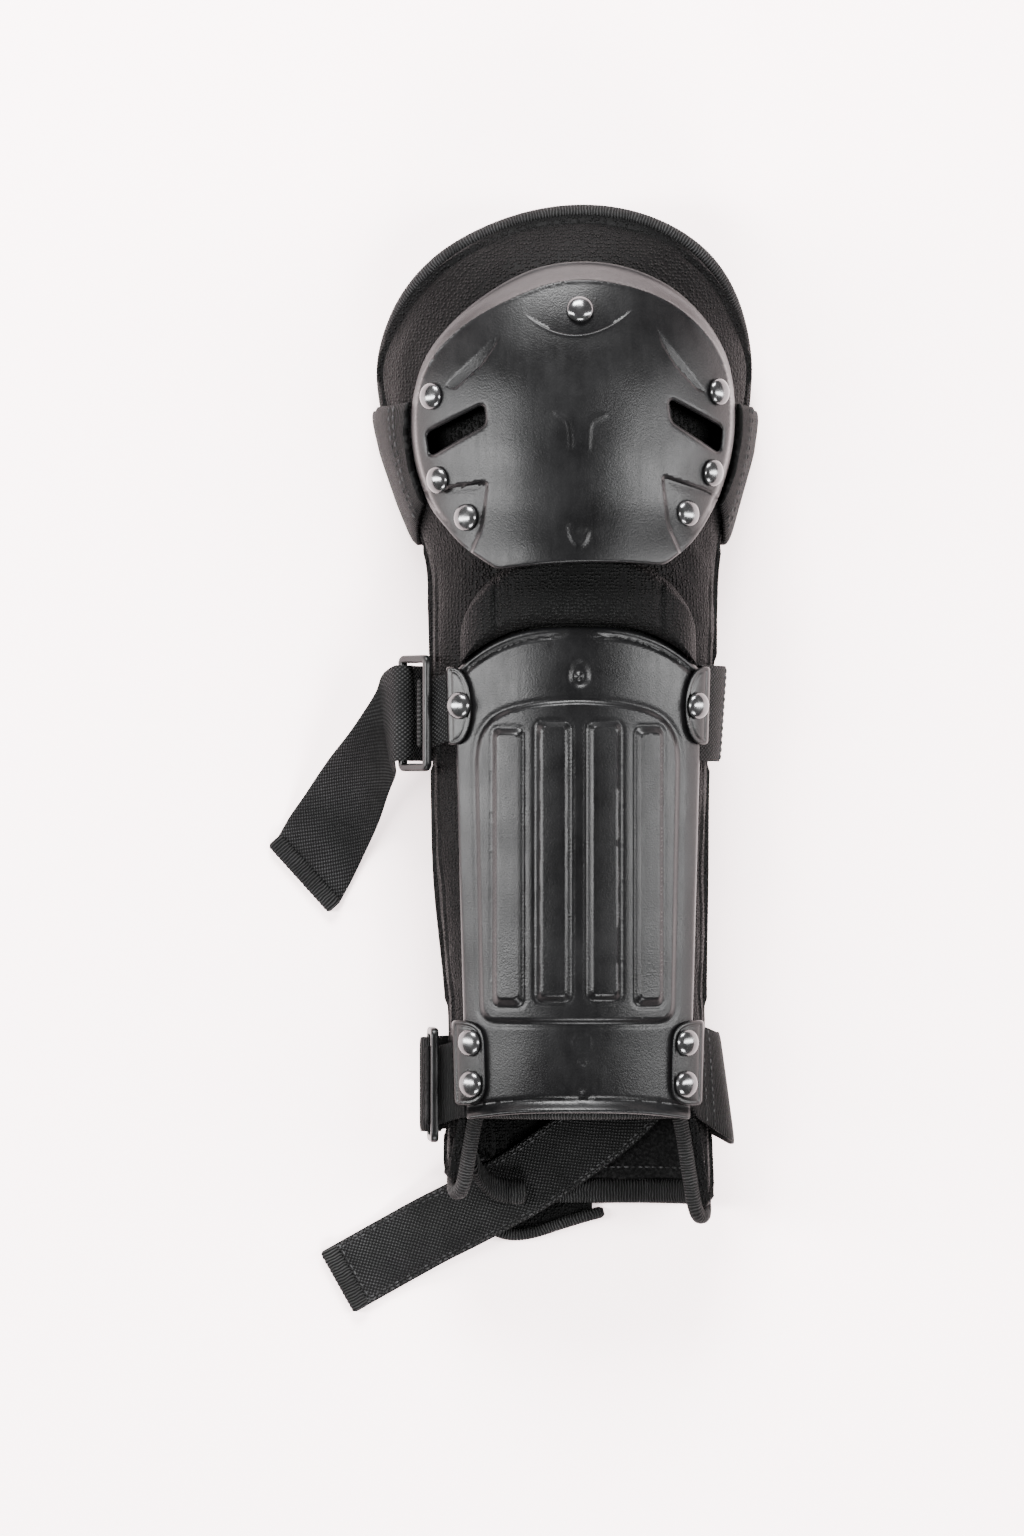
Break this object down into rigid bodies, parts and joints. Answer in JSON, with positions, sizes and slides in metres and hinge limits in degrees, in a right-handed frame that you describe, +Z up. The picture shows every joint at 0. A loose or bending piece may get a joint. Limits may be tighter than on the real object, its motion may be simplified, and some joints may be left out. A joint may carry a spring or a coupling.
{
  "type": "elbow and forearm guard",
  "caption": "Padded elbow and forearm guard with a moulded elbow cap, a ribbed forearm shell and hook-and-loop straps, lying on its back.",
  "frame": {"origin": "on the flat underside of the middle strap, on the surface the guard lies on", "axes": "+Z up from that surface, through the front of the guard; +Y along the arm towards the elbow; +X to the right as seen from the front"},
  "size_m": [0.184, 0.4138, 0.0782],
  "materials": {
    "shell": "satin black, fine grain",
    "pad": "pebbled black cloth over foam",
    "binding": "ribbed black binding",
    "strap": "woven black webbing",
    "tab": "black, slightly glossy edges",
    "rivet": "glossy black nickel"
  },
  "bodies": {
    "root": {"front_pad": "pad", "rear_wrap": "pad", "under_flap": "pad", "flex_pad": "pad", "pad_binding": "binding", "wrap_hem": "binding", "wrap_hem_left": "binding", "under_flap_binding": "binding", "mid_strap_end": "binding", "wrist_strap_end": "binding", "elbow_cap": "shell", "forearm_shell": "shell", "tab_upper_left": "tab", "tab_upper_right": "tab", "plate_lower_left": "tab", "plate_lower_right": "tab", "mid_buckle": "tab", "lower_buckle": "tab", "mid_tab_loop": "strap", "lower_tab_loop": "strap", "mid_strap": "strap", "lower_strap": "strap", "elbow_strap": "strap", "wrist_strap": "strap", "cap_rivet_1": "rivet", "cap_rivet_2": "rivet", "cap_rivet_3": "rivet", "cap_rivet_4": "rivet", "cap_rivet_5": "rivet", "cap_rivet_6": "rivet", "cap_rivet_7": "rivet", "plate_rivet_1": "rivet", "plate_rivet_2": "rivet", "plate_rivet_3": "rivet", "plate_rivet_4": "rivet", "tab_rivet_left": "rivet", "tab_rivet_right": "rivet"}
  },
  "joints": []
}
